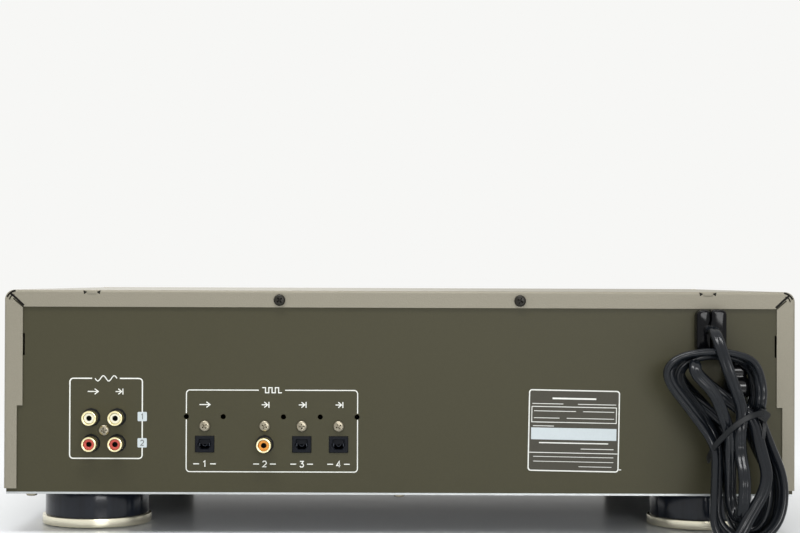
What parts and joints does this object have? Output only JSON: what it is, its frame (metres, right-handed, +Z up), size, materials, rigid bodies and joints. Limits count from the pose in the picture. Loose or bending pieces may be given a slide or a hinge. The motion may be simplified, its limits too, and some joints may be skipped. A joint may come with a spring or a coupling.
{
  "type": "minidisc deck",
  "caption": "Full-width minidisc recorder deck with a slot-loading disc mechanism, front keys and knobs, rear phono and optical sockets, round feet and a tied mains cord.",
  "frame": {"origin": "on the table, under the middle of the deck's box, the cord not counted", "axes": "+X to the right seen from the front, -Y the front, +Y the rear with the sockets and the cord, +Z up"},
  "size_m": [0.4376, 0.398, 0.134],
  "materials": {
    "champagne_paint": "fine textured paint",
    "olive_paint": "satin paint",
    "zinc_steel": "galvanised sheet",
    "champagne_aluminium": "brushed and anodised",
    "black_steel": "blackened screws",
    "nickel_screws": "nickel plated",
    "foot_black": "polished",
    "foot_gold": "pale gold, turned",
    "foot_rubber": "matt",
    "black_plastic": "moulded",
    "gold_plate": "gold plated",
    "white_plastic": "moulded",
    "red_plastic": "moulded",
    "orange_plastic": "moulded",
    "gland_plastic": "moulded",
    "cord_vinyl": "semi-matt vinyl",
    "tie_plastic": "flat band",
    "plug_plastic": "moulded",
    "core_steel": "varnished laminations",
    "board": "paper laminate",
    "heat_sink": "black anodised",
    "can_sleeve": "shrunk sleeve",
    "chip": "moulded",
    "switch_body": "moulded",
    "mech_steel": "plated sheet",
    "damper_rubber": "soft",
    "motor_can": "drawn can",
    "spindle_metal": "turned",
    "nylon": "moulded",
    "sled_casting": "die cast",
    "display_glass": "evacuated tube",
    "smoked_window": "smoked",
    "key_plastic": "metallic lacquer",
    "knob_metal": "turned and anodised"
  },
  "bodies": {
    "deck": {"bottom_chassis": "zinc_steel", "rear_panel": "olive_paint", "top_cover": "champagne_paint", "cover_screws": "black_steel", "jack_screws": "nickel_screws", "chassis_screws": "nickel_screws", "front_panel": "champagne_aluminium", "front_frame": "black_plastic", "display_window": "smoked_window", "display_tube": "display_glass", "front_board": "board", "front_switches": "switch_body", "phones_jack": "black_plastic", "foot_barrels": "foot_black", "foot_rings": "foot_gold", "foot_pads": "foot_rubber", "jack_blocks": "black_plastic", "jack_shells": "gold_plate", "white_inserts": "white_plastic", "red_inserts": "red_plastic", "orange_insert": "orange_plastic", "optical_sockets": "black_plastic", "power_transformer": "core_steel", "power_board": "board", "heat_sink": "heat_sink", "capacitors": "can_sleeve", "main_board": "board", "main_chips": "chip", "cord_gland": "gland_plastic", "cord_lead": "cord_vinyl", "cord_hank": "cord_vinyl", "cord_tie": "tie_plastic", "plug": "plug_plastic", "mech_chassis": "mech_steel", "mech_brackets": "mech_steel", "mech_dampers": "damper_rubber", "mech_motors": "motor_can"},
    "slot_flap_body": {"slot_flap": "black_plastic"},
    "power_button_body": {"power_button": "key_plastic"},
    "eject_button_body": {"eject_button": "key_plastic"},
    "play_button_body": {"play_button": "key_plastic"},
    "pause_button_body": {"pause_button": "key_plastic"},
    "stop_button_body": {"stop_button": "key_plastic"},
    "record_button_body": {"record_button": "key_plastic"},
    "rewind_button_body": {"rewind_button": "key_plastic"},
    "forward_button_body": {"forward_button": "key_plastic"},
    "time_button_body": {"time_button": "key_plastic"},
    "edit_button_body": {"edit_button": "key_plastic"},
    "record_knob_body": {"record_knob": "knob_metal"},
    "jog_dial_body": {"jog_dial": "knob_metal"},
    "input_knob_body": {"input_knob": "knob_metal"},
    "phones_knob_body": {"phones_knob": "knob_metal"},
    "turntable_body": {"turntable": "spindle_metal"},
    "pickup_sled_body": {"pickup_sled": "sled_casting"},
    "sled_gear_body": {"sled_gear": "nylon"},
    "head_arm_body": {"head_arm": "mech_steel"},
    "loading_slider_body": {"loading_slider": "mech_steel"},
    "loading_gear_body": {"loading_gear": "nylon"},
    "cartridge_holder_body": {"cartridge_holder": "mech_steel"}
  },
  "joints": [
    {"name": "slot_flap_swing", "type": "hinge", "parent": "deck", "child": "slot_flap_body", "pos_m": [0, -0.15275, 0.1062], "axis": [1, 0, 0], "range_deg": [0, 85], "stiffness_Nm_per_rad": 0.004, "springref_deg": -5.73},
    {"name": "power_button_press", "type": "slide", "parent": "deck", "child": "power_button_body", "axis": [0, 1, 0], "range_m": [0, 0.0007], "stiffness_N_per_m": 1200, "springref_m": -0.0005},
    {"name": "eject_button_press", "type": "slide", "parent": "deck", "child": "eject_button_body", "axis": [0, 1, 0], "range_m": [0, 0.0007], "stiffness_N_per_m": 1200, "springref_m": -0.0005},
    {"name": "play_button_press", "type": "slide", "parent": "deck", "child": "play_button_body", "axis": [0, 1, 0], "range_m": [0, 0.0007], "stiffness_N_per_m": 1200, "springref_m": -0.0005},
    {"name": "pause_button_press", "type": "slide", "parent": "deck", "child": "pause_button_body", "axis": [0, 1, 0], "range_m": [0, 0.0007], "stiffness_N_per_m": 1200, "springref_m": -0.0005},
    {"name": "stop_button_press", "type": "slide", "parent": "deck", "child": "stop_button_body", "axis": [0, 1, 0], "range_m": [0, 0.0007], "stiffness_N_per_m": 1200, "springref_m": -0.0005},
    {"name": "record_button_press", "type": "slide", "parent": "deck", "child": "record_button_body", "axis": [0, 1, 0], "range_m": [0, 0.0007], "stiffness_N_per_m": 1200, "springref_m": -0.0005},
    {"name": "rewind_button_press", "type": "slide", "parent": "deck", "child": "rewind_button_body", "axis": [0, 1, 0], "range_m": [0, 0.0007], "stiffness_N_per_m": 1200, "springref_m": -0.0005},
    {"name": "forward_button_press", "type": "slide", "parent": "deck", "child": "forward_button_body", "axis": [0, 1, 0], "range_m": [0, 0.0007], "stiffness_N_per_m": 1200, "springref_m": -0.0005},
    {"name": "time_button_press", "type": "slide", "parent": "deck", "child": "time_button_body", "axis": [0, 1, 0], "range_m": [0, 0.0007], "stiffness_N_per_m": 1200, "springref_m": -0.0005},
    {"name": "edit_button_press", "type": "slide", "parent": "deck", "child": "edit_button_body", "axis": [0, 1, 0], "range_m": [0, 0.0007], "stiffness_N_per_m": 1200, "springref_m": -0.0005},
    {"name": "record_knob_turn", "type": "hinge", "parent": "deck", "child": "record_knob_body", "pos_m": [0.18, -0.15975, 0.088], "axis": [0, -1, 0], "range_deg": [-150, 150]},
    {"name": "jog_dial_turn", "type": "hinge", "parent": "deck", "child": "jog_dial_body", "pos_m": [0.18, -0.15975, 0.046], "axis": [0, -1, 0], "continuous": true},
    {"name": "input_knob_turn", "type": "hinge", "parent": "deck", "child": "input_knob_body", "pos_m": [0.058, -0.15975, 0.04], "axis": [0, -1, 0], "range_deg": [-30, 30]},
    {"name": "phones_knob_turn", "type": "hinge", "parent": "deck", "child": "phones_knob_body", "pos_m": [-0.16, -0.15975, 0.046], "axis": [0, -1, 0], "range_deg": [-150, 150]},
    {"name": "turntable_spin", "type": "hinge", "parent": "deck", "child": "turntable_body", "pos_m": [0, -0.10575, 0.09], "axis": [0, 0, 1], "continuous": true},
    {"name": "sled_slide", "type": "slide", "parent": "deck", "child": "pickup_sled_body", "axis": [1, 0, 0], "range_m": [0, 0.016]},
    {"name": "sled_gear_turn", "type": "hinge", "parent": "deck", "child": "sled_gear_body", "pos_m": [0.031, -0.12765, 0.079], "axis": [0, 0, 1], "range_deg": [-170.1, 0]},
    {"name": "head_arm_lower", "type": "hinge", "parent": "pickup_sled_body", "child": "head_arm_body", "pos_m": [0.044, -0.10575, 0.11], "axis": [0, 1, 0], "range_deg": [-11.5, 0], "stiffness_Nm_per_rad": 0.02, "springref_deg": 6.88},
    {"name": "loading_slide", "type": "slide", "parent": "deck", "child": "loading_slider_body", "axis": [0, 1, 0], "range_m": [0, 0.014]},
    {"name": "loading_gear_turn", "type": "hinge", "parent": "deck", "child": "loading_gear_body", "pos_m": [-0.0503, -0.09975, 0.0925], "axis": [0, 0, 1], "range_deg": [0, 148.8]},
    {"name": "holder_drop", "type": "slide", "parent": "deck", "child": "cartridge_holder_body", "axis": [0, 0, 1], "range_m": [-0.004, 0]}
  ],
  "couplings": [
    {"joint": "sled_gear_turn", "follows": "sled_slide", "rad_per_m": -185.19},
    {"joint": "loading_gear_turn", "follows": "loading_slide", "rad_per_m": 185.19},
    {"joint": "holder_drop", "follows": "loading_slide", "ratio": -0.28571}
  ]
}
